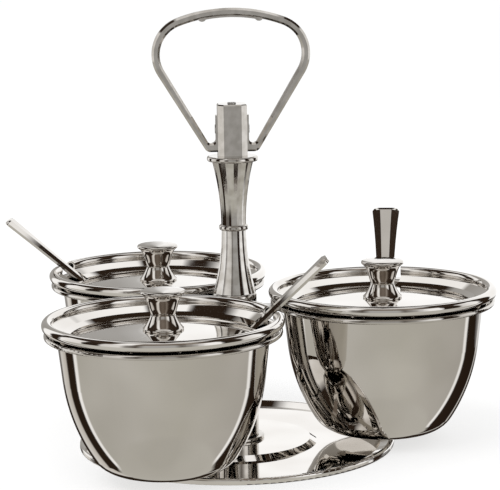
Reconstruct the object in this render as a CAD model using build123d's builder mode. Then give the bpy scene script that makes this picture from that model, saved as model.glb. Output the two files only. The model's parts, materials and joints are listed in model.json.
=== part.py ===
from build123d import *
import os
from math import asin, cos, degrees, pi, radians, sin, sqrt, tan

# Relish server: a round base and a central column with a looped handle, carrying three
# covered bowls with spoons. Millimetres, +Z up. The origin is on the column's axis at the
# level of the table. The right-hand bowl lies along +X, and the handle loop lies in XZ.

# Clearances and fits
running_fit = 0.05  # radial, a shaft that turns in its hole
easy_fit = 0.1  # radial, a rod or screw through a hole in the same assembly
rest_gap = 0.3  # between pieces that lift off or turn past each other
edge_break = 0.3  # the small bevel that takes the sharpness off an edge

# Base: a stamped plate with a rolled rim and a raised centre disc
base_radius = 83.5
base_height = 3.4
base_sheet = 0.8
base_foot_gap = 0.2  # the plate's underside above the table
rim_foot_width = 4.6
rim_top_width = 2.4
rim_slope_run = 5.0
rim_round = 1.1
disc_top_radius = 39.0
disc_foot_radius = 42.5
disc_rise = 2.3

# Base hub, the bearing, and what holds the turning part down
bead_round_share = 0.4  # the round of a bead's edges as a share of its height
hub_bead_radius = 14.5
hub_bead_height = 1.8
hub_spigot_radius = 6.0
thrust_washer_radius = 10.5
thrust_washer_thickness = 0.4
tie_rod_radius = 3.0
rod_thread_depth = 15.0  # how far the tie rod reaches into the grip block
retaining_washer_radius = 7.5
retaining_washer_thickness = 0.5
push_nut_radius = 5.5
push_nut_height = 1.4

# Lower stem
stem_radius = 11.6
stem_wall = 1.0
stem_bush_height = 6.0

# Carrier: a three-armed plate under three rings
bowl_count = 3
bowl_names = ("right", "back", "front")
bowl_circle_radius = 78.2  # from the column's axis to each bowl's axis
ring_outer_radius = 59.3
ring_height = 2.6
ring_outer_round = 1.1
ring_lip_width = 1.5
carrier_hub_radius = 17.0
carrier_plate_thickness = 1.8
arm_width = 14.0

# Bowls: pressed from one sheet, with an out-turned flange that lies in the ring's step
bowl_base_gap = 2.2  # the bowl's underside above the base's rim
bowl_radius = 53.0  # outside of the wall, just under the flange
bowl_wall = 1.0
bowl_depth = 68.6  # from the underside of the bottom to the start of the lip's bend
bowl_lean = 6.5  # degrees, the wall's lean from upright
bowl_heel_radius = 16.5
bowl_heel_angle = 58.0
bowl_belly_radius = 95.0
lip_bend_radius = 1.5
flange_radius = 57.5
flange_stand = 0.1  # the flange's top above the ring's lip

# Lids: a shallow dome, a crease, a sloped shoulder and a rim curled round from the sheet
lid_sheet = 0.9
lid_flat_radius = 11.0
lid_crease_radius = 46.7
lid_shoulder_radius = 50.5
lid_rim_inner_radius = 56.5
lid_rim_radius = 60.3
lid_curl_radius = 2.7
lid_curl_rise = 0.7  # the curl's centre above the shoulder's outer edge
lid_curl_gap = 0.8  # between the curl's end and the sheet it comes back to
lid_shoulder_angle = 33.7  # degrees
lid_crease_depth = 1.4  # the crease below the foot of the shoulder
lid_dome_rise = 2.4
notch_width = 17.0
notch_clearance = 0.6  # between the notch's end and the spoon's ridge
notch_azimuths = (81.5, 157.0, 13.0)  # degrees about each bowl's axis, from +X

# Knobs: a flared base and a cup-shaped cap on one screw
knob_base_radius = 10.3
knob_edge = 1.2
knob_waist_radius = 5.8
knob_waist_height = 8.0
knob_cap_height = 12.5
knob_cup_radius = 9.3
knob_lip_radius = 11.3
knob_lip_height = 2.5
knob_crown = 0.5
knob_seam_width = 0.5
knob_seam_depth = 0.5
knob_screw_radius = 2.0
knob_screw_head_radius = 4.0
knob_screw_head_height = 1.3
knob_screw_reach = 12.0

# Spoons: a ridged, tapered handle that leans on the bowl's lip, and an oval dish
spoon_leans = (45.5, 50.0, 46.5)  # degrees from upright
spoon_azimuths = (82.0, 170.0, 1.0)  # degrees from +X, the way each handle leans
spoon_out_lengths = (48.0, 48.0, 45.5)  # from the bowl's lip to the handle's end
spoon_floor_gap = 2.1  # the first spoon's end above the bowl's floor
spoon_tip_width = 15.2
spoon_shoulder_width = 11.3
spoon_shoulder_length = 24.0
spoon_entry_width = 9.0
spoon_neck_width = 5.5
spoon_edge_thickness = 1.3
spoon_ridge_height = 2.6
spoon_ridge_share = 0.42  # the flat ridge's width as a share of the handle's
spoon_end_length = 1.8  # the part over which the ridge falls away to the handle's end
spoon_end_ridge_height = 1.8
spoon_end_round = 3.0
dish_length = 38.0
dish_width = 22.0
dish_sphere_radius = 30.0
dish_thickness = 1.0
dish_overlap = 2.0

# Column: fluted lower and upper cones with a ring between them
foot_collar_height = 7.8
foot_collar_round = 1.2
lower_cone_height = 33.2
lower_cone_foot_radius = 11.2
waist_radius = 6.5
mid_ring_radius = 7.7
mid_ring_height = 2.9
upper_cone_height = 33.5
upper_cone_top_radius = 10.8
top_collar_radius = 13.4
top_collar_height = 2.7
flute_count = 14
flute_depth = 0.6
flute_land = 0.8  # the flat ridge left between two flutes
cone_sections = 6

# Grip block
block_width = 15.3
block_height = 27.2
block_corner = 3.0
block_top_round = 0.6
top_screw_radius = 1.6
top_screw_length = 10.0
top_screw_head_radius = 2.3
top_screw_head_height = 0.8
top_screw_round_share = 0.7  # the round of the head's edge as a share of its height

# Handle loop
loop_height = 76.8  # from the block's foot to the top of the loop
loop_bar = 4.2
loop_leg_bar = 3.3
loop_depth = 5.5
loop_bevel = 1.1
crown_radius = 80.0
shoulder_radius = 20.0
shoulder_offset = 21.0
leg_lean = 31.5  # degrees from upright
foot_thickness = 4.6
foot_height = 2.2  # the foot's underside above the block's foot
foot_corner_round = 3.5
foot_hollow_round = 2.2  # the hollow corner between the foot and its tab
leg_hollow_round = 1.8  # the hollow corner between the foot and the leg
tab_thickness = 1.0
tab_height = 14.7
grip_half_length = 14.7
grip_extra = 0.6
grip_depth = 4.3
grip_bump_radius = 2.4
grip_bump_stand = 0.7  # how far each bump stands out below the grip
rivet_radius = 1.5
rivet_depth = 4.0
rivet_head_radius = 2.5
rivet_head_height = 0.3
rivet_head_taper = 30.0  # degrees

# Heights that follow from the sizes above
plate_top_z = base_foot_gap + base_sheet
disc_top_z = plate_top_z + disc_rise
disc_under_z = disc_top_z - base_sheet
hub_top_z = disc_top_z + hub_bead_height
stem_bottom_z = hub_top_z + thrust_washer_thickness + rest_gap
bowl_bottom_z = base_height + bowl_base_gap
lip_centre_z = bowl_bottom_z + bowl_depth
flange_under_z = lip_centre_z + lip_bend_radius
flange_top_z = flange_under_z + bowl_wall
ring_top_z = flange_top_z - flange_stand
ring_bottom_z = ring_top_z - ring_height
carrier_top_z = ring_bottom_z
stem_top_z = carrier_top_z - carrier_plate_thickness
lower_cone_z = carrier_top_z + foot_collar_height
mid_ring_z = lower_cone_z + lower_cone_height
upper_cone_z = mid_ring_z + mid_ring_height
top_collar_z = upper_cone_z + upper_cone_height
block_bottom_z = top_collar_z + top_collar_height
block_top_z = block_bottom_z + block_height
rod_top_z = block_bottom_z + rod_thread_depth
washer_top_z = disc_under_z - rest_gap
push_nut_top_z = washer_top_z - retaining_washer_thickness
push_nut_bottom_z = push_nut_top_z - push_nut_height

# The ring's seat and the bowl's lip share one centre of bend, with the gap between them
seat_z = flange_under_z - rest_gap
lip_centre_r = bowl_radius + lip_bend_radius
seat_round = lip_bend_radius - rest_gap
ring_bore = lip_centre_r - seat_round

# The bowl's profile: flat bottom, heel, belly and a leaning side
bowl_belly_angle = 90 - bowl_lean - bowl_heel_angle
heel_run = bowl_heel_radius * sin(radians(bowl_heel_angle))
heel_rise = bowl_heel_radius * (1 - cos(radians(bowl_heel_angle)))
belly_run = bowl_belly_radius * (cos(radians(bowl_lean)) - sin(radians(bowl_heel_angle)))
belly_rise = bowl_belly_radius * (cos(radians(bowl_heel_angle)) - sin(radians(bowl_lean)))
side_rise = bowl_depth - heel_rise - belly_rise
bowl_flat_radius = bowl_radius - heel_run - belly_run - side_rise * tan(radians(bowl_lean))

# The lid's shoulder stands clear of the bowl's lip by the gap, and sets the lid's height
shoulder_slope = tan(radians(lid_shoulder_angle))
lip_reach = lip_bend_radius + bowl_wall + rest_gap
lid_shoulder_z = (
    lip_centre_z
    + lip_reach / cos(radians(lid_shoulder_angle))
    - (lip_centre_r - lid_shoulder_radius) * shoulder_slope
    + lid_sheet
)
lid_rim_inner_z = lid_shoulder_z + (lid_rim_inner_radius - lid_shoulder_radius) * shoulder_slope
lid_crease_z = lid_shoulder_z - lid_crease_depth
lid_top_z = lid_crease_z + lid_dome_rise
lid_curl_centre_r = lid_rim_radius - lid_curl_radius
lid_curl_z = lid_rim_inner_z + lid_curl_rise

# All spoons are alike; the first one's end stands just clear of the bowl's floor
spoon_drop = flange_top_z - bowl_bottom_z - bowl_wall - spoon_floor_gap
spoon_length = spoon_out_lengths[0] + spoon_drop / cos(radians(spoon_leans[0]))


def save(part, name):
    """Label a finished piece and write it to its own file."""
    part.label = name
    export_step(part, f"parts/{name}.step")


def bowl_azimuth(index):
    """Angle of a bowl's axis about the column, in radians."""
    return 2 * pi * index / bowl_count


def bowl_axis(index):
    """X and Y of a bowl's axis."""
    angle = bowl_azimuth(index)
    return bowl_circle_radius * cos(angle), bowl_circle_radius * sin(angle)


def bowl_plane(index):
    """Upright plane through a bowl's axis: its X runs outwards, its Y runs up."""
    x, y = bowl_axis(index)
    angle = bowl_azimuth(index)
    return Plane(
        origin=(x, y, 0),
        x_dir=(cos(angle), sin(angle), 0),
        z_dir=(sin(angle), -cos(angle), 0),
    )


def upright_axis(index):
    """The axis of one bowl, its lid and its knob."""
    x, y = bowl_axis(index)
    return Axis((x, y, 0), (0, 0, 1))


# Base


def make_base_plate():
    """Stamped plate: flat foot ring, rolled rim, mirror floor and raised centre disc."""
    rim_inner = base_radius - rim_top_width
    floor_outer = rim_inner - rim_slope_run
    foot_inner = base_radius - rim_foot_width
    bore = hub_spigot_radius + running_fit
    under_disc = disc_top_radius - base_sheet
    under_foot = disc_foot_radius - base_sheet
    with BuildPart() as base_plate:
        with BuildSketch(Plane.XZ) as section:
            with BuildLine():
                Polyline(
                    (bore, disc_under_z),
                    (under_disc, disc_under_z),
                    (under_foot, base_foot_gap),
                    (foot_inner, base_foot_gap),
                    (foot_inner, 0),
                    (base_radius, 0),
                    (base_radius, base_height),
                    (rim_inner, base_height),
                    (floor_outer, plate_top_z),
                    (disc_foot_radius, plate_top_z),
                    (disc_top_radius, disc_top_z),
                    (bore, disc_top_z),
                    close=True,
                )
            make_face()
            rim_corners = section.vertices().group_by(Axis.Y)[-1]
            fillet(rim_corners, rim_round)
            foot_corner = section.vertices().group_by(Axis.Y)[0].sort_by(Axis.X)[-1]
            fillet(foot_corner, rim_round)
        revolve(axis=Axis.Z)
    save(base_plate.part, "base_plate")


def make_base_hub():
    """Beaded collar with a spigot through the plate; its bore is the turning part's bearing."""
    with BuildPart() as base_hub:
        with BuildSketch(Plane.XY.offset(disc_top_z)):
            Circle(hub_bead_radius)
        extrude(amount=hub_bead_height)
        fillet(base_hub.edges().filter_by(GeomType.CIRCLE), hub_bead_height * bead_round_share)
        with BuildSketch(Plane.XY.offset(disc_under_z)):
            Circle(hub_spigot_radius)
        extrude(amount=base_sheet)
        with BuildSketch(Plane.XY.offset(disc_under_z)):
            Circle(tie_rod_radius + running_fit)
        extrude(amount=base_sheet + hub_bead_height, mode=Mode.SUBTRACT)
    save(base_hub.part, "base_hub")


def make_flat_ring(name, bottom_z, height, outer_radius, inner_radius):
    """A plain washer, bush or nut: a ring of the given height and radii."""
    with BuildPart() as ring:
        with BuildSketch(Plane.XY.offset(bottom_z)):
            Circle(outer_radius)
            Circle(inner_radius, mode=Mode.SUBTRACT)
        extrude(amount=height)
    save(ring.part, name)


def make_push_nut():
    """Pressed cap nut under the base, domed at its rim, gripping the tie rod's end."""
    with BuildPart() as push_nut:
        with BuildSketch(Plane.XY.offset(push_nut_bottom_z)):
            Circle(push_nut_radius)
        extrude(amount=push_nut_height)
        chamfer(push_nut.edges().group_by(Axis.Z)[0], push_nut_height / 2)
        with BuildSketch(Plane.XY.offset(push_nut_bottom_z + edge_break)):
            Circle(tie_rod_radius)
        extrude(amount=push_nut_height, mode=Mode.SUBTRACT)
    save(push_nut.part, "push_nut")


def make_tie_rod():
    """Steel rod from the push nut up through the column into the grip block."""
    bottom_z = push_nut_bottom_z + edge_break
    with BuildPart() as tie_rod:
        with BuildSketch(Plane.XY.offset(bottom_z)):
            Circle(tie_rod_radius)
        extrude(amount=rod_top_z - bottom_z)
        chamfer(tie_rod.edges().group_by(Axis.Z)[-1], edge_break)
    save(tie_rod.part, "tie_rod")


def make_lower_stem():
    """Plain tube between the base hub and the carrier."""
    make_flat_ring(
        "lower_stem",
        stem_bottom_z,
        stem_top_z - stem_bottom_z,
        stem_radius,
        stem_radius - stem_wall,
    )


def make_stem_bushes():
    """Two bushes that centre the stem's ends on the tie rod."""
    bush_levels = (stem_bottom_z, stem_top_z - stem_bush_height)
    with BuildPart() as stem_bushes:
        for level in bush_levels:
            with BuildSketch(Plane.XY.offset(level)):
                Circle(stem_radius - stem_wall)
                Circle(tie_rod_radius + easy_fit, mode=Mode.SUBTRACT)
            extrude(amount=stem_bush_height)
    save(stem_bushes.part, "stem_bushes")


# Carrier


def make_carrier_hub():
    """Three-armed plate clamped in the column, with each arm welded under a ring."""
    with BuildPart() as carrier_hub:
        with BuildSketch(Plane.XY.offset(stem_top_z)):
            Circle(carrier_hub_radius)
            with PolarLocations(0, bowl_count):
                Rectangle(bowl_circle_radius, arm_width, align=(Align.MIN, Align.CENTER))
            with PolarLocations(bowl_circle_radius, bowl_count):
                Circle(ring_bore, mode=Mode.SUBTRACT)
            Circle(tie_rod_radius + easy_fit, mode=Mode.SUBTRACT)
        extrude(amount=carrier_plate_thickness)
    save(carrier_hub.part, "carrier_hub")


def make_carrier_ring(index):
    """Ring with a rounded outer edge and a step that the bowl's flange lies in."""
    lip_inner = ring_outer_radius - ring_lip_width
    with BuildPart() as carrier_ring:
        with BuildSketch(bowl_plane(index)) as section:
            with BuildLine():
                Polyline(
                    (ring_bore, ring_bottom_z),
                    (ring_outer_radius, ring_bottom_z),
                    (ring_outer_radius, ring_top_z),
                    (lip_inner, ring_top_z),
                    (lip_inner, seat_z),
                    (ring_bore, seat_z),
                    close=True,
                )
            make_face()
            fillet(section.vertices().sort_by(Axis.X)[-2:], ring_outer_round)
            seat_corner = section.vertices().sort_by(Axis.X)[:2].sort_by(Axis.Y)[-1]
            fillet(seat_corner, seat_round)
        revolve(axis=upright_axis(index))
    save(carrier_ring.part, f"carrier_ring_{bowl_names[index]}")


# Bowls, lids, knobs and spoons


def draw_bowl_side(inset):
    """One face of the bowl's sheet, from the axis to the flange; inset 0 is the outside."""
    start_z = bowl_bottom_z + inset
    bottom = Line((0, start_z), (bowl_flat_radius, start_z))
    heel = JernArc(bottom @ 1, (1, 0), bowl_heel_radius - inset, bowl_heel_angle)
    belly = JernArc(heel @ 1, heel % 1, bowl_belly_radius - inset, bowl_belly_angle)
    side = Line(belly @ 1, (belly @ 1) + (belly % 1) * (side_rise / cos(radians(bowl_lean))))
    lip = JernArc(side @ 1, side % 1, lip_bend_radius + inset, bowl_lean - 90)
    flange = Line(lip @ 1, (flange_radius, (lip @ 1).Y))
    return bottom @ 0, flange @ 1


def make_bowl(index):
    """Bowl of one even sheet: flat bottom, round heel, leaning side, bent lip and flange."""
    with BuildPart() as bowl:
        with BuildSketch(bowl_plane(index)):
            with BuildLine():
                outer_bottom, outer_edge = draw_bowl_side(0)
                inner_bottom, inner_edge = draw_bowl_side(bowl_wall)
                Line(outer_bottom, inner_bottom)
                Line(outer_edge, inner_edge)
            make_face()
        revolve(axis=upright_axis(index))
    save(bowl.part, f"bowl_{bowl_names[index]}")


def make_lid(index):
    """Pressed lid with its dome, crease, shoulder, rolled rim, screw hole and spoon notch."""
    x, y = bowl_axis(index)
    curl_centre = (lid_curl_centre_r, lid_curl_z)
    notch_reach = lid_rim_radius / 2
    with BuildPart() as lid:
        with BuildSketch(bowl_plane(index)):
            with BuildLine():
                ends = []
                for drop in (0, lid_sheet):
                    middle = Line((0, lid_top_z - drop), (lid_flat_radius, lid_top_z - drop))
                    dome = TangentArc(
                        middle @ 1,
                        (lid_crease_radius, lid_crease_z - drop),
                        tangent=(1, 0),
                    )
                    crease = Line(dome @ 1, (lid_shoulder_radius, lid_shoulder_z - drop))
                    shoulder = Line(crease @ 1, (lid_rim_inner_radius, lid_rim_inner_z - drop))
                    ends.append((middle @ 0, shoulder @ 1))
                Line(ends[0][0], ends[1][0])
                Line(ends[0][1], ends[1][1])
            make_face()
            with Locations(curl_centre):
                Circle(lid_curl_radius)
                Circle(lid_curl_radius - lid_sheet, mode=Mode.SUBTRACT)
                Rectangle(
                    lid_curl_gap,
                    lid_curl_radius + edge_break,
                    align=(Align.CENTER, Align.MAX),
                    mode=Mode.SUBTRACT,
                )
        revolve(axis=upright_axis(index))
        with BuildSketch(Plane((x, y, lid_top_z))):
            Circle(knob_screw_radius + easy_fit)
        extrude(amount=-2 * lid_sheet, mode=Mode.SUBTRACT)
        notch_plane = Plane((x, y, lid_crease_z)).rotated((0, 0, notch_azimuths[index]))
        with BuildSketch(notch_plane):
            slot_end = notch_inner_radius(index) + notch_width / 2
            with Locations((slot_end, 0)):
                Circle(notch_width / 2)
                Rectangle(lid_rim_radius, notch_width, align=(Align.MIN, Align.CENTER))
        extrude(amount=notch_reach, both=True, mode=Mode.SUBTRACT)
    save(lid.part, f"lid_{bowl_names[index]}")


def make_knob_base(index):
    """Lower half of the knob: a thin edge and a hollow flare up to the waist."""
    seam_radius = knob_waist_radius - knob_seam_depth
    waist_z = lid_top_z + knob_waist_height
    with BuildPart() as knob_base:
        with BuildSketch(bowl_plane(index)):
            with BuildLine():
                hole = knob_screw_radius + easy_fit
                under = Line((hole, lid_top_z), (knob_base_radius, lid_top_z))
                edge = Line(under @ 1, (knob_base_radius, lid_top_z + knob_edge))
                flare = TangentArc(
                    (knob_waist_radius, waist_z - knob_seam_width),
                    edge @ 1,
                    tangent=(0, -1),
                )
                Polyline(
                    flare @ 0,
                    (seam_radius, waist_z - knob_seam_width),
                    (seam_radius, waist_z),
                    (hole, waist_z),
                    under @ 0,
                )
            make_face()
        revolve(axis=upright_axis(index))
    save(knob_base.part, f"knob_base_{bowl_names[index]}")


def make_knob_cap(index):
    """Upper half of the knob: a cup that widens to a thick lip with a slightly domed top."""
    waist_z = lid_top_z + knob_waist_height
    lip_z = waist_z + knob_cap_height - knob_lip_height - knob_crown
    top_z = lip_z + knob_lip_height
    hole = knob_screw_radius + easy_fit
    hole_top_z = lid_top_z + knob_screw_reach + rest_gap
    with BuildPart() as knob_cap:
        with BuildSketch(bowl_plane(index)):
            with BuildLine():
                bottom = Line((hole, waist_z), (knob_waist_radius, waist_z))
                cup = TangentArc(bottom @ 1, (knob_cup_radius, lip_z), tangent=(0, 1))
                under_lip = Line(cup @ 1, (knob_lip_radius - edge_break, lip_z))
                lip = ThreePointArc(
                    under_lip @ 1,
                    (knob_lip_radius, lip_z + knob_lip_height / 2),
                    (knob_lip_radius - edge_break, top_z),
                )
                crown = TangentArc((0, top_z + knob_crown), lip @ 1, tangent=(1, 0))
                Polyline(crown @ 0, (0, hole_top_z), (hole, hole_top_z), bottom @ 0)
            make_face()
        revolve(axis=upright_axis(index))
    save(knob_cap.part, f"knob_cap_{bowl_names[index]}")


def make_knob_screw(index):
    """Screw from under the lid up into the knob's cap."""
    x, y = bowl_axis(index)
    under_z = lid_top_z - lid_sheet
    with BuildPart() as knob_screw:
        with BuildSketch(Plane((x, y, under_z))):
            Circle(knob_screw_head_radius)
        extrude(amount=-knob_screw_head_height)
        chamfer(knob_screw.edges().group_by(Axis.Z)[0], knob_screw_head_height / 2)
        with BuildSketch(Plane((x, y, under_z))):
            Circle(knob_screw_radius)
        extrude(amount=knob_screw_reach + lid_sheet)
    save(knob_screw.part, f"knob_screw_{bowl_names[index]}")


def spoon_entry_radius(index):
    """Distance from the bowl's axis at which the handle's underside rests on the lip."""
    lean = radians(spoon_leans[index])
    half = (spoon_entry_width + spoon_shoulder_width) / 4
    turned = abs(radians(spoon_azimuths[index] - notch_azimuths[index]))
    level = (lip_reach - (flange_top_z - lip_centre_z) * sin(lean)) / cos(lean)
    corner = half * tan(turned) + half**2 / (2 * bowl_radius)
    return lip_centre_r - level - corner


def notch_inner_radius(index):
    """Distance from the lid's axis to the closed end of its notch, clear of the ridge."""
    lean = radians(spoon_leans[index])
    drop = flange_top_z - lid_crease_z + lid_sheet
    ridge = spoon_entry_radius(index) - spoon_ridge_height / cos(lean) - drop * tan(lean)
    return ridge - notch_clearance


def spoon_place(index):
    """Plane at the handle's tip: its Z along the ridge's side, its Y away from the dish."""
    x, y = bowl_axis(index)
    lean = radians(spoon_leans[index])
    azimuth = radians(spoon_azimuths[index])
    notch = radians(notch_azimuths[index])
    along = Vector(sin(lean) * cos(azimuth), sin(lean) * sin(azimuth), cos(lean))
    across = Vector(-sin(azimuth), cos(azimuth), 0)
    entry_r = spoon_entry_radius(index)
    entry = Vector(x + entry_r * cos(notch), y + entry_r * sin(notch), flange_top_z)
    tip = entry + along * spoon_out_lengths[index]
    return Plane(origin=tip, x_dir=-across, z_dir=along.cross(across))


def draw_spoon_section(width, ridge_height):
    """The handle's outline across its length: a flat underside, thin edges and a flat ridge."""
    half = width / 2
    ridge = half * spoon_ridge_share
    Polygon(
        (-half, 0),
        (half, 0),
        (half, spoon_edge_thickness),
        (ridge, ridge_height),
        (-ridge, ridge_height),
        (-half, spoon_edge_thickness),
        align=None,
    )


def build_spoon():
    """One spoon along -Y from its tip: oval dish, ridged handle, falling round-cornered end."""
    stations = (
        (spoon_end_length, spoon_tip_width),
        (spoon_shoulder_length, spoon_shoulder_width),
        (spoon_out_lengths[0], spoon_entry_width),
        (spoon_length - dish_length + dish_overlap, spoon_neck_width),
    )
    dish_middle_y = dish_length / 2 - spoon_length
    dish_reach = dish_sphere_radius / 2
    sphere_rise = sqrt(dish_sphere_radius**2 - (dish_length / 2) ** 2)
    sphere_centre = (0, dish_middle_y, sphere_rise)
    with BuildPart() as spoon:
        with BuildSketch():
            with Locations((0, dish_middle_y)):
                Ellipse(dish_width / 2, dish_length / 2)
        extrude(amount=dish_reach, both=True)
        with Locations(Plane(origin=sphere_centre, x_dir=(0, 0, 1), z_dir=(0, 1, 0)).location):
            Sphere(dish_sphere_radius, mode=Mode.INTERSECT)
            Sphere(dish_sphere_radius - dish_thickness, mode=Mode.SUBTRACT)
        for distance, width in stations:
            with BuildSketch(Plane.XZ.offset(distance)):
                draw_spoon_section(width, spoon_ridge_height)
        loft()
        for distance, height in ((0, spoon_end_ridge_height), (spoon_end_length, spoon_ridge_height)):
            with BuildSketch(Plane.XZ.offset(distance)):
                draw_spoon_section(spoon_tip_width, height)
        loft()
        with BuildSketch():
            Rectangle(2 * spoon_tip_width, 2 * spoon_end_round)
            with Locations((0, -2 * spoon_end_round)):
                RectangleRounded(
                    spoon_tip_width,
                    4 * spoon_end_round,
                    spoon_end_round,
                    mode=Mode.SUBTRACT,
                )
        extrude(amount=spoon_tip_width, both=True, mode=Mode.SUBTRACT)
    return spoon.part


def make_spoon(index, one_spoon):
    """Place one of the like spoons in its bowl."""
    with BuildPart() as spoon:
        with Locations(spoon_place(index).location):
            add(one_spoon)
    save(spoon.part, f"spoon_{bowl_names[index]}")


# Column


def flute_size(radius):
    """Radius and centre distance of the round cutter that leaves one flute."""
    pitch = 2 * radius * sin(pi / flute_count)
    half_chord = (pitch - flute_land) / 2
    cutter = (half_chord**2 + flute_depth**2) / (2 * flute_depth)
    return cutter, radius - flute_depth + cutter


def make_foot_collar_and_lower_cone():
    """Plain collar on the carrier, and the fluted cone that narrows to the waist."""
    with BuildPart() as lower_column:
        with BuildSketch(Plane.XY.offset(carrier_top_z)):
            Circle(stem_radius)
        extrude(amount=foot_collar_height)
        fillet(lower_column.edges().group_by(Axis.Z)[-1], foot_collar_round)
        for step in range(cone_sections):
            share = step / (cone_sections - 1)
            radius = waist_radius + (lower_cone_foot_radius - waist_radius) * (1 - share) ** 2
            cutter, distance = flute_size(radius)
            with BuildSketch(Plane.XY.offset(lower_cone_z + lower_cone_height * share)):
                Circle(radius)
                with PolarLocations(distance, flute_count):
                    Circle(cutter, mode=Mode.SUBTRACT)
        loft()
        with BuildSketch(Plane.XY.offset(carrier_top_z)):
            Circle(tie_rod_radius + easy_fit)
        extrude(amount=foot_collar_height + lower_cone_height, mode=Mode.SUBTRACT)
    save(lower_column.part, "lower_column")


def make_mid_ring():
    """Rounded ring at the column's waist."""
    with BuildPart() as mid_ring:
        with BuildSketch(Plane.XY.offset(mid_ring_z)):
            Circle(mid_ring_radius)
        extrude(amount=mid_ring_height)
        fillet(mid_ring.edges().filter_by(GeomType.CIRCLE), mid_ring_height * bead_round_share)
        with BuildSketch(Plane.XY.offset(mid_ring_z)):
            Circle(tie_rod_radius + easy_fit)
        extrude(amount=mid_ring_height, mode=Mode.SUBTRACT)
    save(mid_ring.part, "mid_ring")


def make_upper_cone():
    """Fluted cone that widens from the waist to the top collar."""
    with BuildPart() as upper_column:
        for step in range(cone_sections):
            share = step / (cone_sections - 1)
            radius = waist_radius + (upper_cone_top_radius - waist_radius) * share**2
            cutter, distance = flute_size(radius)
            with BuildSketch(Plane.XY.offset(upper_cone_z + upper_cone_height * share)):
                Circle(radius)
                with PolarLocations(distance, flute_count):
                    Circle(cutter, mode=Mode.SUBTRACT)
        loft()
        with BuildSketch(Plane.XY.offset(upper_cone_z)):
            Circle(tie_rod_radius + easy_fit)
        extrude(amount=upper_cone_height, mode=Mode.SUBTRACT)
    save(upper_column.part, "upper_column")


def make_top_collar():
    """Beaded disc between the upper cone and the grip block."""
    with BuildPart() as top_collar:
        with BuildSketch(Plane.XY.offset(top_collar_z)):
            Circle(top_collar_radius)
        extrude(amount=top_collar_height)
        rims = top_collar.edges().filter_by(GeomType.CIRCLE)
        fillet(rims, top_collar_height * bead_round_share)
        with BuildSketch(Plane.XY.offset(top_collar_z)):
            Circle(tie_rod_radius + easy_fit)
        extrude(amount=top_collar_height, mode=Mode.SUBTRACT)
    save(top_collar.part, "top_collar")


# Grip block and handle


def rivet_plane(side, distance):
    """Upright plane square to X on one side of the block, facing outwards."""
    rivet_z = block_bottom_z + foot_height + foot_thickness + tab_height / 2
    return Plane(origin=(side * distance, 0, rivet_z), x_dir=(0, 1, 0), z_dir=(side, 0, 0))


def make_grip_block():
    """Square block with bevelled corners, bored for the rod, the top screw and the rivets."""
    screw_hole = top_screw_length + rest_gap
    with BuildPart() as grip_block:
        with BuildSketch(Plane.XY.offset(block_bottom_z)) as outline:
            Rectangle(block_width, block_width)
            chamfer(outline.vertices(), block_corner)
        extrude(amount=block_height)
        chamfer(grip_block.edges().group_by(Axis.Z)[-1], block_top_round)
        with BuildSketch(Plane.XY.offset(block_bottom_z)):
            Circle(tie_rod_radius + easy_fit)
        extrude(amount=rod_thread_depth + rest_gap, mode=Mode.SUBTRACT)
        with BuildSketch(Plane.XY.offset(block_top_z)):
            Circle(top_screw_radius + easy_fit)
        extrude(amount=-screw_hole, mode=Mode.SUBTRACT)
        for side in (-1, 1):
            with BuildSketch(rivet_plane(side, block_width / 2)):
                Circle(rivet_radius + easy_fit)
            extrude(amount=-rivet_depth - rest_gap, mode=Mode.SUBTRACT)
    save(grip_block.part, "grip_block")


def make_top_screw():
    """Small round-headed screw in the top of the block."""
    with BuildPart() as top_screw:
        with BuildSketch(Plane.XY.offset(block_top_z)):
            Circle(top_screw_head_radius)
        extrude(amount=top_screw_head_height)
        head_round = top_screw_head_height * top_screw_round_share
        fillet(top_screw.edges().group_by(Axis.Z)[-1], head_round)
        with BuildSketch(Plane.XY.offset(block_top_z)):
            Circle(top_screw_radius)
        extrude(amount=-top_screw_length)
    save(top_screw.part, "top_screw")


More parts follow.
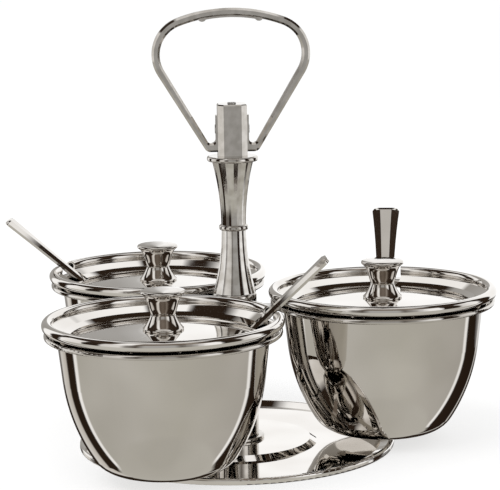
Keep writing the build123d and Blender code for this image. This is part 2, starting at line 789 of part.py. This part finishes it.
def make_handle_loop():
    """Bevelled bar bent to a rounded triangle, with feet and tabs on the block's sides."""
    top_z = block_bottom_z + loop_height
    crown_z = top_z - crown_radius
    crown_half = asin(shoulder_offset / (crown_radius - shoulder_radius))
    shoulder_z = crown_z + (crown_radius - shoulder_radius) * cos(crown_half)
    foot_z = block_bottom_z + foot_height
    foot_top_z = foot_z + foot_thickness
    lean = radians(leg_lean)
    leg_top_z = shoulder_z - shoulder_radius * sin(lean)
    leg_top_x = shoulder_offset + shoulder_radius * cos(lean)
    leg_foot_x = leg_top_x - (leg_top_z - foot_z) * tan(lean)
    inner_foot_x = leg_foot_x + foot_thickness * tan(lean) - loop_leg_bar / cos(lean)
    block_half = block_width / 2
    tab_face = block_half + tab_thickness
    turn = 90 - degrees(crown_half) + leg_lean
    with BuildPart() as handle_loop:
        with BuildSketch(Plane.XZ) as outline:
            with BuildLine():
                CenterArc((0, crown_z), crown_radius, 90, -degrees(crown_half))
                shoulder = (shoulder_offset, shoulder_z)
                start = 90 - degrees(crown_half)
                outer_turn = CenterArc(shoulder, shoulder_radius, start, -turn)
                outer_leg = Line(outer_turn @ 1, (leg_foot_x, foot_z))
                hollow_z = foot_top_z + foot_hollow_round
                Polyline(
                    outer_leg @ 1,
                    (block_half, foot_z),
                    (block_half, hollow_z),
                    (tab_face, hollow_z),
                )
                hollow_centre = (tab_face + foot_hollow_round, hollow_z)
                CenterArc(hollow_centre, foot_hollow_round, 180, 90)
                foot_over = Line((tab_face + foot_hollow_round, foot_top_z), (inner_foot_x, foot_top_z))
                inner_turn = CenterArc(shoulder, shoulder_radius - loop_bar, start, -turn)
                Line(foot_over @ 1, inner_turn @ 1)
                CenterArc((0, crown_z), crown_radius - loop_bar, 90, -degrees(crown_half))
                mirror(about=Plane.YZ)
            make_face()
            inner_corners = outline.vertices().group_by(Axis.Y)[1].sort_by(Axis.X)
            fillet((inner_corners[0], inner_corners[-1]), leg_hollow_round)
            corners = outline.vertices().group_by(Axis.Y)[0].sort_by(Axis.X)
            fillet((corners[0], corners[-1]), foot_corner_round)
        extrude(amount=loop_depth / 2, both=True)
        rims = handle_loop.edges().group_by(Axis.Y)
        long_rims = (rims[0] + rims[-1]).filter_by(lambda e: abs(e.center().X) > tab_face)
        crown_rims = (rims[0] + rims[-1]).filter_by(lambda e: e.center().Z > shoulder_z)
        chamfer(ShapeList(set(long_rims + crown_rims)), loop_bevel)
        with BuildSketch(Plane.XZ):
            for side in (-1, 1):
                with Locations((side * (block_half + tab_thickness / 2), foot_top_z)):
                    Rectangle(tab_thickness, tab_height, align=(Align.CENTER, Align.MIN))
        extrude(amount=loop_depth / 2, both=True)
        for side in (-1, 1):
            with BuildSketch(rivet_plane(side, block_half)):
                Circle(rivet_radius + easy_fit)
            extrude(amount=tab_thickness, mode=Mode.SUBTRACT)
        grip_inner = crown_radius - loop_bar - grip_extra
        grip_angle = asin(grip_half_length / grip_inner)
        with BuildSketch(Plane.XZ):
            with BuildLine():
                over = CenterArc(
                    (0, crown_z),
                    crown_radius - loop_bar + edge_break,
                    90 - degrees(grip_angle),
                    2 * degrees(grip_angle),
                )
                under = CenterArc(
                    (0, crown_z),
                    grip_inner,
                    90 - degrees(grip_angle),
                    2 * degrees(grip_angle),
                )
                Line(over @ 0, under @ 0)
                Line(over @ 1, under @ 1)
            make_face()
            bump_z = crown_z + grip_inner * cos(grip_angle) + grip_bump_radius - grip_bump_stand
            with Locations((-grip_half_length, bump_z), (grip_half_length, bump_z)):
                Circle(grip_bump_radius)
        extrude(amount=grip_depth / 2, both=True)
    save(handle_loop.part, "handle_loop")


def make_handle_rivets():
    """Two domed rivets through the loop's tabs into the block."""
    head_base = block_width / 2 + tab_thickness
    with BuildPart() as handle_rivets:
        for side in (-1, 1):
            with BuildSketch(rivet_plane(side, head_base)):
                Circle(rivet_radius)
            extrude(amount=-rivet_depth - tab_thickness)
            with BuildSketch(rivet_plane(side, head_base)):
                Circle(rivet_head_radius)
            extrude(amount=rivet_head_height, taper=rivet_head_taper)
    save(handle_rivets.part, "handle_rivets")


def make_all():
    """Build every piece and write its file."""
    os.makedirs("parts", exist_ok=True)
    make_base_plate()
    make_base_hub()
    make_flat_ring(
        "thrust_washer",
        hub_top_z,
        thrust_washer_thickness,
        thrust_washer_radius,
        tie_rod_radius + rest_gap,
    )
    make_flat_ring(
        "retaining_washer",
        push_nut_top_z,
        retaining_washer_thickness,
        retaining_washer_radius,
        tie_rod_radius + easy_fit,
    )
    make_push_nut()
    make_tie_rod()
    make_lower_stem()
    make_stem_bushes()
    make_carrier_hub()
    make_foot_collar_and_lower_cone()
    make_mid_ring()
    make_upper_cone()
    make_top_collar()
    make_grip_block()
    make_top_screw()
    make_handle_loop()
    make_handle_rivets()
    one_spoon = build_spoon()
    for index in range(bowl_count):
        make_carrier_ring(index)
        make_bowl(index)
        make_lid(index)
        make_knob_base(index)
        make_knob_cap(index)
        make_knob_screw(index)
        make_spoon(index, one_spoon)


make_all()
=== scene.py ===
import json
from math import cos, pi, radians, sin

import bpy
from mathutils import Matrix, Vector


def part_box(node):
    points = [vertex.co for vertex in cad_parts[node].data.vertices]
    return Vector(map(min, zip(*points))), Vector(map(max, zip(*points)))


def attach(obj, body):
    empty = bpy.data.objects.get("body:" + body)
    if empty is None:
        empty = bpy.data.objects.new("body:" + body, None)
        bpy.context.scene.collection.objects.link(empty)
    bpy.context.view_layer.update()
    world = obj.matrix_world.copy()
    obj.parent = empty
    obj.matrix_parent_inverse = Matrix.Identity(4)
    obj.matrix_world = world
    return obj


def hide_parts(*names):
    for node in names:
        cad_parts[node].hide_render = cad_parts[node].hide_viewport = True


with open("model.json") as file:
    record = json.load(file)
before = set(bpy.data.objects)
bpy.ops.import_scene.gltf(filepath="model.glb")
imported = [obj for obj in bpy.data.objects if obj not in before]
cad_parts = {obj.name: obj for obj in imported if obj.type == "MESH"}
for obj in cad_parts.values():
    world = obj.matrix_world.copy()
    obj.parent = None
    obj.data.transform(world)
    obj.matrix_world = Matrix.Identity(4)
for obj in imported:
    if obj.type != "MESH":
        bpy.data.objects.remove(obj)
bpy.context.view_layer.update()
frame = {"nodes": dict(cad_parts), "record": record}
bowl_names = ("right", "back", "front")
bowl_turn = 2 * pi / len(bowl_names)
bowl_low, bowl_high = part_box("bowl_right")
bowl_distance = (bowl_low[0] + bowl_high[0]) / 2  # from the column's axis to each bowl's axis


# Sizes in metres

polish_band = 0.0015  # width of the rings that a polishing wheel leaves
sheet_wave = 0.028  # width of the slight waves in a pressed sheet
sheet_wave_depth = 0.00005
cast_grain = 0.004  # width of the ripples that hand polishing leaves on a casting
cast_grain_depth = 0.00001
scratch_width = 0.0004  # finer in truth, and drawn as coarse as it needs to show

# The knob, from the lid up: radius and height of each turned edge
knob_base_edges = (
    (0.0100, 0.0),
    (0.0102, 0.0003),
    (0.0102, 0.0009),
    (0.0098, 0.0012),
    (0.0088, 0.0024),
    (0.0076, 0.0044),
    (0.0066, 0.0064),
    (0.0062, 0.0075),
    (0.0056, 0.0076),
    (0.0056, 0.0080),
)
knob_cap_edges = (
    (0.0060, 0.0),
    (0.0064, 0.0004),
    (0.0073, 0.0035),
    (0.0084, 0.0068),
    (0.0093, 0.0088),
    (0.0103, 0.0096),
    (0.0110, 0.0101),
    (0.01125, 0.0107),
    (0.01120, 0.0113),
    (0.0109, 0.0117),
    (0.0102, 0.0120),
    (0.0070, 0.01232),
    (0.0035, 0.01245),
)

# The plain collar at the column's foot
collar_edges = (
    (0.0116, 0.0),
    (0.0116, 0.0066),
    (0.0114, 0.0072),
    (0.0110, 0.0076),
    (0.0104, 0.0078),
)
round_sides = 96
lathe_edge = radians(30)  # a sharper turn than this stays an edge on a turned piece

# The column's fluted cones
flute_count = 14
flute_depth = 0.0003  # how far the middle of each flat is drawn in
flute_edge = radians(20)  # a sharper turn than this stays a ridge between two flutes
cone_steps = 12
waist_radius = 0.0065
lower_foot_radius = 0.0112
upper_head_radius = 0.0108


# How the polish looks

ring_detail = 2.0
gloss_spread = (0.7, 1.4)  # the brightest and dullest rings, as shares of the roughness
noise_range = (0.3, 0.7)  # noise seldom leaves this range
tone_range = (0.35, 0.65)
wave_detail = 1.0
wave_roughness = 0.4
turned_stretch = 8  # the marks of a turning tool run round the piece, so they are flat
turned_gloss = (0.15, 0.35)
nylon_roughness = 0.55
nylon_ior = 1.53


# Colours and nodes


def linear(code):
    """A hex colour as the linear red, green, blue and alpha that a shader's socket takes."""
    channels = [int(code[k : k + 2], 16) / 255 for k in (1, 3, 5)]
    return [c / 12.92 if c <= 0.04045 else ((c + 0.055) / 1.055) ** 2.4 for c in channels] + [1.0]


def add_node(tree, kind, settings=None, links=None, stops=None):
    """Add a node: set its properties, sockets and colour stops, and join its inputs."""
    node = tree.nodes.new(kind)
    for key, value in (settings or {}).items():
        if isinstance(key, int) or key in node.inputs:
            node.inputs[key].default_value = value
        else:
            setattr(node, key, value)
    for key, socket in (links or {}).items():
        tree.links.new(socket, node.inputs[key])
    for index, (position, code) in enumerate(stops or []):
        # A new ramp has two stops already
        elements = node.color_ramp.elements
        stop = elements[index] if index < 2 else elements.new(position)
        stop.position = position
        stop.color = linear(code)
    return node


def new_material(name):
    """An empty node material and its tree."""
    material = bpy.data.materials.new(name)
    material.use_nodes = True
    material.node_tree.nodes.clear()
    return material, material.node_tree


def place_on_bowl(tree):
    """Object coordinates turned and moved so that the nearest bowl's axis is their Z axis."""
    place = add_node(tree, "ShaderNodeTexCoord").outputs["Object"]
    parts = add_node(tree, "ShaderNodeSeparateXYZ", links={0: place}).outputs
    angle = add_node(tree, "ShaderNodeMath", {"operation": "ARCTAN2"}, {0: parts["Y"], 1: parts["X"]})
    turns = add_node(
        tree,
        "ShaderNodeMath",
        {"operation": "DIVIDE", 1: bowl_turn},
        {0: angle.outputs[0]},
    )
    whole = add_node(tree, "ShaderNodeMath", {"operation": "ROUND"}, {0: turns.outputs[0]})
    back = add_node(
        tree,
        "ShaderNodeMath",
        {"operation": "MULTIPLY", 1: -bowl_turn},
        {0: whole.outputs[0]},
    )
    turned = add_node(
        tree,
        "ShaderNodeVectorRotate",
        {"rotation_type": "Z_AXIS"},
        {"Vector": place, "Angle": back.outputs[0]},
    )
    moved = add_node(
        tree,
        "ShaderNodeVectorMath",
        {"operation": "SUBTRACT", 1: (bowl_distance, 0, 0)},
        {0: turned.outputs[0]},
    )
    return moved.outputs[0]


def polished_steel(
    name, light, dark, roughness, on_bowl=False, wave=sheet_wave, depth=sheet_wave_depth
):
    """Stainless steel polished to a mirror on a wheel, with its faint rings and waves."""
    material, tree = new_material(name)
    if on_bowl:
        place = place_on_bowl(tree)
    else:
        place = add_node(tree, "ShaderNodeTexCoord").outputs["Object"]

    # The wheel leaves faint rings about the piece's axis, so the gloss varies a little outwards
    flat = add_node(
        tree,
        "ShaderNodeVectorMath",
        {"operation": "MULTIPLY", 1: (1, 1, 0)},
        {0: place},
    )
    radius = add_node(tree, "ShaderNodeVectorMath", {"operation": "LENGTH"}, {0: flat.outputs[0]})
    rings = add_node(
        tree,
        "ShaderNodeTexNoise",
        {"noise_dimensions": "1D", "Scale": 1 / polish_band, "Detail": ring_detail},
        {"W": radius.outputs["Value"]},
    )
    gloss = add_node(
        tree,
        "ShaderNodeMapRange",
        {
            "From Min": noise_range[0],
            "From Max": noise_range[1],
            "To Min": roughness * gloss_spread[0],
            "To Max": roughness * gloss_spread[1],
        },
        {"Value": rings.outputs["Fac"]},
    )

    # The steel's own tone drifts slightly, where it was rubbed more or less
    waves = add_node(
        tree,
        "ShaderNodeTexNoise",
        {"Scale": 1 / wave, "Detail": wave_detail, "Roughness": wave_roughness},
        {"Vector": place},
    )
    tone = add_node(
        tree,
        "ShaderNodeValToRGB",
        links={"Fac": waves.outputs["Fac"]},
        stops=((tone_range[0], dark), (tone_range[1], light)),
    )

    # The same waves bend the mirror's reflections
    bump = add_node(
        tree,
        "ShaderNodeBump",
        {"Strength": 1.0, "Distance": depth},
        {"Height": waves.outputs["Fac"]},
    )
    shader = add_node(
        tree,
        "ShaderNodeBsdfPrincipled",
        {"Metallic": 1.0},
        {"Base Color": tone.outputs[0], "Roughness": gloss.outputs[0], "Normal": bump.outputs[0]},
    )
    add_node(tree, "ShaderNodeOutputMaterial", links={"Surface": shader.outputs[0]})
    return material


def bright_steel():
    """Zinc-bright steel of the rod, screws and washers: a soft gloss with a turned grain."""
    material, tree = new_material("bright turned steel")
    place = add_node(tree, "ShaderNodeTexCoord").outputs["Object"]
    stretched = add_node(
        tree,
        "ShaderNodeMapping",
        {"Scale": (1, 1, turned_stretch)},
        {"Vector": place},
    )
    grain = add_node(
        tree,
        "ShaderNodeTexNoise",
        {"Scale": 1 / scratch_width, "Detail": ring_detail},
        {"Vector": stretched.outputs[0]},
    )
    tone = add_node(
        tree,
        "ShaderNodeValToRGB",
        links={"Fac": grain.outputs["Fac"]},
        stops=((noise_range[0], "#A7A5A2"), (noise_range[1], "#C9C7C4")),
    )
    gloss = add_node(
        tree,
        "ShaderNodeMapRange",
        {"To Min": turned_gloss[0], "To Max": turned_gloss[1]},
        {"Value": grain.outputs["Fac"]},
    )
    shader = add_node(
        tree,
        "ShaderNodeBsdfPrincipled",
        {"Metallic": 1.0},
        {"Base Color": tone.outputs[0], "Roughness": gloss.outputs[0]},
    )
    add_node(tree, "ShaderNodeOutputMaterial", links={"Surface": shader.outputs[0]})
    return material


def moulded_nylon():
    """Black nylon of the washer and bushes: matt, with the fine grain of a mould."""
    material, tree = new_material("black moulded nylon")
    place = add_node(tree, "ShaderNodeTexCoord").outputs["Object"]
    grain = add_node(tree, "ShaderNodeTexNoise", {"Scale": 1 / scratch_width}, {"Vector": place})
    tone = add_node(
        tree,
        "ShaderNodeValToRGB",
        links={"Fac": grain.outputs["Fac"]},
        stops=((noise_range[0], "#171717"), (noise_range[1], "#242424")),
    )
    shader = add_node(
        tree,
        "ShaderNodeBsdfPrincipled",
        {"Roughness": nylon_roughness, "IOR": nylon_ior},
        {"Base Color": tone.outputs[0]},
    )
    add_node(tree, "ShaderNodeOutputMaterial", links={"Surface": shader.outputs[0]})
    return material


# Materials of the pieces: all the outside is stainless steel, polished by wheel or by hand

# Stamped sheet, buffed flat: the clearest mirror of all
plate_steel = polished_steel("mirror polished base plate", "#E6E3DF", "#DCD8D3", 0.03)

# Castings polished by hand: the mirror is softer and ripples a little
cast_steel = polished_steel(
    "hand polished cast steel",
    "#D2CEC9",
    "#C2BEB8",
    0.07,
    wave=cast_grain,
    depth=cast_grain_depth,
)
column_steel = polished_steel(
    "polished cast column",
    "#D9D6D2",
    "#C4C0BA",
    0.06,
    wave=cast_grain,
    depth=cast_grain_depth,
)

# Round wire bent to a ring and buffed: bright, and a little softer than the sheet
ring_steel = polished_steel("polished ring steel", "#D4D0CB", "#C8C4BE", 0.05, on_bowl=True)

# Spun and buffed sheet: a clear mirror with slow waves, rubbed round the bowl's own axis
bowl_steel = polished_steel("mirror polished bowl sheet", "#DAD6D1", "#D0CCC6", 0.035, on_bowl=True)
lid_steel = polished_steel("mirror polished lid sheet", "#E6E3DF", "#DCD8D3", 0.03, on_bowl=True)

# Knobs turned from bar and polished in the lathe
knob_steel = polished_steel(
    "turned and polished knob steel",
    "#D9D5D0",
    "#CAC5BF",
    0.05,
    on_bowl=True,
    wave=cast_grain,
    depth=cast_grain_depth,
)

# Pressed and tumbled spoons: a little duller from handling
spoon_steel = polished_steel("polished spoon steel", "#D9D5D0", "#CCC8C2", 0.06)
plain_steel = bright_steel()
nylon = moulded_nylon()

finishes = {
    "base_plate": plate_steel,
    "thrust_washer": nylon,
    "stem_bushes": nylon,
    "retaining_washer": plain_steel,
    "push_nut": plain_steel,
    "tie_rod": plain_steel,
    "carrier_hub": plain_steel,
    "top_screw": plain_steel,
    "handle_rivets": plain_steel,
}
for name in bowl_names:
    finishes[f"carrier_ring_{name}"] = ring_steel
    finishes[f"bowl_{name}"] = bowl_steel
    finishes[f"lid_{name}"] = lid_steel
    finishes[f"knob_base_{name}"] = knob_steel
    finishes[f"knob_cap_{name}"] = knob_steel
    finishes[f"knob_screw_{name}"] = plain_steel
    finishes[f"spoon_{name}"] = spoon_steel
for name, node in frame["nodes"].items():
    node.data.materials.clear()
    node.data.materials.append(finishes.get(name, cast_steel))


# Turned and fluted pieces


def raise_rings(rings, x, y, start):
    """Extrude the selected face up through rings of a radius and a height."""
    radius, level = start
    for next_radius, next_level in rings:
        bpy.ops.mesh.extrude_region_move(
            TRANSFORM_OT_translate={"value": (0, 0, next_level - level)},
        )
        share = next_radius / radius
        bpy.ops.transform.resize(value=(share, share, 1), center_override=(x, y, next_level))
        radius, level = next_radius, next_level


def close_piece(name, node, material, edge_angle):
    """Point the faces outwards, smooth the round ways, and let the piece stand for its node."""
    bpy.ops.mesh.select_all(action="SELECT")
    bpy.ops.mesh.normals_make_consistent(inside=False)
    bpy.ops.object.mode_set(mode="OBJECT")
    piece = bpy.context.object
    bpy.ops.object.shade_smooth_by_angle(angle=edge_angle)
    piece.name = name
    piece.data.materials.append(material)
    bpy.ops.object.transform_apply(location=True, rotation=True, scale=True)
    for body, members in frame["record"]["behaviour"]["bodies"].items():
        if node in members:
            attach(piece, body)
    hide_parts(node)
    piece.select_set(False)


def turned_piece(name, node, edges, foot, material):
    """A round piece of the lathe, raised edge by edge from its foot."""
    low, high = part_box(node)
    x, y = (low[0] + high[0]) / 2, (low[1] + high[1]) / 2
    rings = [(radius, foot + height) for radius, height in edges]
    bpy.ops.object.select_all(action="DESELECT")
    bpy.ops.mesh.primitive_circle_add(
        vertices=round_sides, radius=rings[0][0], fill_type="NGON", location=(x, y, foot)
    )
    bpy.ops.object.mode_set(mode="EDIT")
    raise_rings(rings[1:], x, y, rings[0])
    close_piece(name, node, material, lathe_edge)


def fluted_cone(name, node, foot, head, material):
    """A cast cone of hollowed flats between sharp ridges, waisted along its height."""
    (foot_radius, foot_z), (head_radius, head_z) = foot, head
    rings = []
    for step in range(cone_steps + 1):
        share = step / cone_steps
        spread = (1 - share) ** 2 if foot_radius > head_radius else 1 - share**2
        radius = head_radius + (foot_radius - head_radius) * spread
        rings.append((radius, foot_z + (head_z - foot_z) * share))
    bpy.ops.object.select_all(action="DESELECT")
    bpy.ops.mesh.primitive_circle_add(
        vertices=2 * flute_count, radius=foot_radius, fill_type="NGON", location=(0, 0, foot_z)
    )
    cone = bpy.context.object

    # Every second corner is the middle of a flat, and is drawn in
    bpy.ops.object.mode_set(mode="EDIT")
    bpy.ops.mesh.select_mode(type="VERT")
    bpy.ops.mesh.select_all(action="DESELECT")
    bpy.ops.object.mode_set(mode="OBJECT")
    for index, vertex in enumerate(cone.data.vertices):
        vertex.select = index % 2 == 0
    bpy.ops.object.mode_set(mode="EDIT")
    flat_middle = cos(pi / flute_count) - flute_depth / foot_radius
    bpy.ops.transform.resize(
        value=(flat_middle, flat_middle, 1), center_override=(0, 0, foot_z)
    )
    bpy.ops.mesh.select_all(action="SELECT")
    raise_rings(rings[1:], 0, 0, rings[0])
    close_piece(name, node, material, flute_edge)


for name in bowl_names:
    knob_base, knob_cap = f"knob_base_{name}", f"knob_cap_{name}"
    base_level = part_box(knob_base)[0][2]
    cap_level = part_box(knob_cap)[0][2]
    turned_piece(f"knob_foot_{name}", knob_base, knob_base_edges, base_level, knob_steel)
    turned_piece(f"knob_cup_{name}", knob_cap, knob_cap_edges, cap_level, knob_steel)

lower_low, lower_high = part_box("lower_column")
upper_low, upper_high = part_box("upper_column")
collar_top = lower_low[2] + collar_edges[-1][1]
turned_piece("column_foot_collar", "lower_column", collar_edges, lower_low[2], cast_steel)
fluted_cone(
    "column_lower_cone",
    "lower_column",
    (lower_foot_radius, collar_top),
    (waist_radius, lower_high[2]),
    column_steel,
)
fluted_cone(
    "column_upper_cone",
    "upper_column",
    (waist_radius, upper_low[2]),
    (upper_head_radius, upper_high[2]),
    column_steel,
)


# Camera at the photograph's angle

eye = Vector((-0.0566, -1.1174, 0.2967))
heading = radians(86.67)
pitch = radians(9.64)
roll = radians(-0.87)
lens = 155.7
sensor_width = 36
forward = Vector((cos(heading) * cos(pitch), sin(heading) * cos(pitch), -sin(pitch)))
level_right = Vector((sin(heading), -cos(heading), 0))
level_up = level_right.cross(forward)
right = level_right * cos(roll) + level_up * sin(roll)
up = level_up * cos(roll) - level_right * sin(roll)
turn = Matrix((right, up, -forward)).transposed().to_4x4()
bpy.ops.object.camera_add()
camera = bpy.context.object
camera.matrix_world = Matrix.Translation(eye) @ turn
camera.data.lens = lens
camera.data.sensor_width = sensor_width
bpy.context.scene.camera = camera


# Floor: plain matt white, which the camera sees nearly as bright as the backdrop

floor_size = 20
floor_glow = 1.08  # makes up for the little that the matt share loses
glow_share = 0.6  # the rest stays matt, and holds the shadow
bpy.ops.object.select_all(action="DESELECT")
bpy.ops.mesh.primitive_plane_add(size=floor_size)
floor = bpy.context.object
floor.name = "floor"
floor_paint, tree = new_material("matt white floor")
matt = add_node(tree, "ShaderNodeBsdfDiffuse", {"Color": linear("#F4F4F4")})
glow = add_node(
    tree,
    "ShaderNodeEmission",
    {"Color": linear("#FFFFFF"), "Strength": floor_glow},
)
path = add_node(tree, "ShaderNodeLightPath")
share = add_node(
    tree,
    "ShaderNodeMath",
    {"operation": "MULTIPLY", 1: glow_share},
    {0: path.outputs["Is Camera Ray"]},
)
paint = add_node(
    tree,
    "ShaderNodeMixShader",
    links={0: share.outputs[0], 1: matt.outputs[0], 2: glow.outputs[0]},
)
add_node(tree, "ShaderNodeOutputMaterial", links={"Surface": paint.outputs[0]})
floor.data.materials.append(floor_paint)
floor.visible_glossy = False


# A wide soft lamp above and to the left

lamp_place = Vector((-0.7, -0.6, 1.6))
lamp_aim = Vector((0, 0, 0.08))
lamp_size = 1.2
lamp_power = 12
bpy.ops.object.light_add(type="AREA", location=lamp_place)
lamp = bpy.context.object
lamp.name = "softbox"
lamp.data.size = lamp_size
lamp.data.energy = lamp_power
lamp.rotation_euler = (lamp_aim - lamp.location).to_track_quat("-Z", "Y").to_euler()
lamp.visible_glossy = False
lamp.visible_camera = False


# World: a white room to the camera, and a studio of cards and flags in the mirror of the steel

toward_camera = radians(92.9)  # turns the camera's side of the room to an angle of zero
ring_edges = (radians(-52), radians(-14), radians(35), radians(66))
edge_blend = radians(2)
half_turn = 180
full_turn = 360
room_strength = 1.0
card_strength = 1.15
white_card = "#FFFFFF"
pale_card = "#D8D6D3"
tinted_card = "#D8D5D0"
dark_flag = "#2A2018"
deep_flag = "#241B14"
worn_flag = "#2F251D"
brown_flag = "#3A2F27"
lower_grey = "#BDBBB4"  # below the lowest ring

# Each ring of the room, from behind on the left round to behind on the right, in degrees
low_ring = (
    (-180, dark_flag),
    (-156, dark_flag),
    (-152, tinted_card),
    (-136, "#C9C4BD"),
    (-133, dark_flag),
    (-117, dark_flag),
    (-115.5, white_card),
    (-111, white_card),
    (-109, "#B9B7B0"),
    (-40, "#C2C0BA"),
    (20, "#C0BEB6"),
    (109, "#B4B1AB"),
    (111, white_card),
    (115, white_card),
    (117, dark_flag),
    (148, deep_flag),
    (151, tinted_card),
    (156, dark_flag),
    (180, dark_flag),
)
middle_ring = (
    (-180, white_card),
    (-178.5, white_card),
    (-177, "#A5A3A0"),
    (-150, "#9B9894"),
    (-146, white_card),
    (-130, white_card),
    (-126, dark_flag),
    (-112, dark_flag),
    (-108, white_card),
    (-82, "#E8E6E3"),
    (-78, deep_flag),
    (-62, worn_flag),
    (-58, "#D4D2CF"),
    (-40, "#E3E1DE"),
    (-34, "#8E8B88"),
    (-24, "#5A534D"),
    (-16, "#AEADAB"),
    (12, "#A9A8A6"),
    (18, "#6E6964"),
    (30, "#A5A3A0"),
    (44, white_card),
    (56, white_card),
    (60, deep_flag),
    (78, worn_flag),
    (82, pale_card),
    (104, white_card),
    (110, dark_flag),
    (128, dark_flag),
    (132, white_card),
    (180, white_card),
)
high_ring = (
    (-180, dark_flag),
    (-164, dark_flag),
    (-160, white_card),
    (-142, white_card),
    (-138, dark_flag),
    (-62, brown_flag),
    (-56, "#8A8178"),
    (-50, white_card),
    (-34, white_card),
    (-28, "#6E645B"),
    (0, "#7B7168"),
    (24, "#6E645B"),
    (34, "#9A928A"),
    (52, "#4A3F37"),
    (60, brown_flag),
    (128, dark_flag),
    (134, white_card),
    (150, white_card),
    (156, dark_flag),
    (180, dark_flag),
)
top_ring = (
    (-180, dark_flag),
    (-164, dark_flag),
    (-160, white_card),
    (-142, white_card),
    (-138, dark_flag),
    (-108, dark_flag),
    (-96, white_card),
    (-60, pale_card),
    (0, "#C4C2BF"),
    (60, pale_card),
    (96, white_card),
    (108, dark_flag),
    (128, dark_flag),
    (134, white_card),
    (150, white_card),
    (156, dark_flag),
    (180, dark_flag),
)

world = bpy.data.worlds.new("white studio")
bpy.context.scene.world = world
world.use_nodes = True
tree = world.node_tree
tree.nodes.clear()
way = add_node(tree, "ShaderNodeTexCoord").outputs["Generated"]
turned = add_node(
    tree,
    "ShaderNodeMapping",
    {"Rotation": (0, 0, toward_camera)},
    {"Vector": way},
)
parts = add_node(tree, "ShaderNodeSeparateXYZ", links={0: turned.outputs[0]}).outputs
angle = add_node(tree, "ShaderNodeMath", {"operation": "ARCTAN2"}, {0: parts["Y"], 1: parts["X"]})
height = add_node(tree, "ShaderNodeMath", {"operation": "ARCSINE"}, {0: parts["Z"]})
around = add_node(
    tree,
    "ShaderNodeMapRange",
    {"From Min": -pi, "From Max": pi},
    {"Value": angle.outputs[0]},
)
under = add_node(tree, "ShaderNodeRGB")
under.outputs[0].default_value = linear(lower_grey)

# Each ring covers what is above its edge, so the studio grows from below
studio = under.outputs[0]
for edge, ring in zip(ring_edges, (low_ring, middle_ring, high_ring, top_ring)):
    stops = [((degree + half_turn) / full_turn, code) for degree, code in ring]
    cover = add_node(tree, "ShaderNodeValToRGB", links={"Fac": around.outputs[0]}, stops=stops)
    above = add_node(
        tree,
        "ShaderNodeMapRange",
        {"From Min": edge - edge_blend, "From Max": edge + edge_blend},
        {"Value": height.outputs[0]},
    )
    joined = add_node(
        tree,
        "ShaderNodeMix",
        {"data_type": "RGBA"},
        {0: above.outputs[0], 6: studio, 7: cover.outputs[0]},
    )
    studio = joined.outputs[2]
path = add_node(tree, "ShaderNodeLightPath")
room = add_node(
    tree,
    "ShaderNodeBackground",
    {"Color": linear("#FFFFFF"), "Strength": room_strength},
)
cards = add_node(tree, "ShaderNodeBackground", {"Strength": card_strength}, {"Color": studio})
sky = add_node(
    tree,
    "ShaderNodeMixShader",
    links={0: path.outputs["Is Glossy Ray"], 1: room.outputs[0], 2: cards.outputs[0]},
)
add_node(tree, "ShaderNodeOutputWorld", links={"Surface": sky.outputs[0]})

bpy.context.scene.view_settings.view_transform = "Standard"
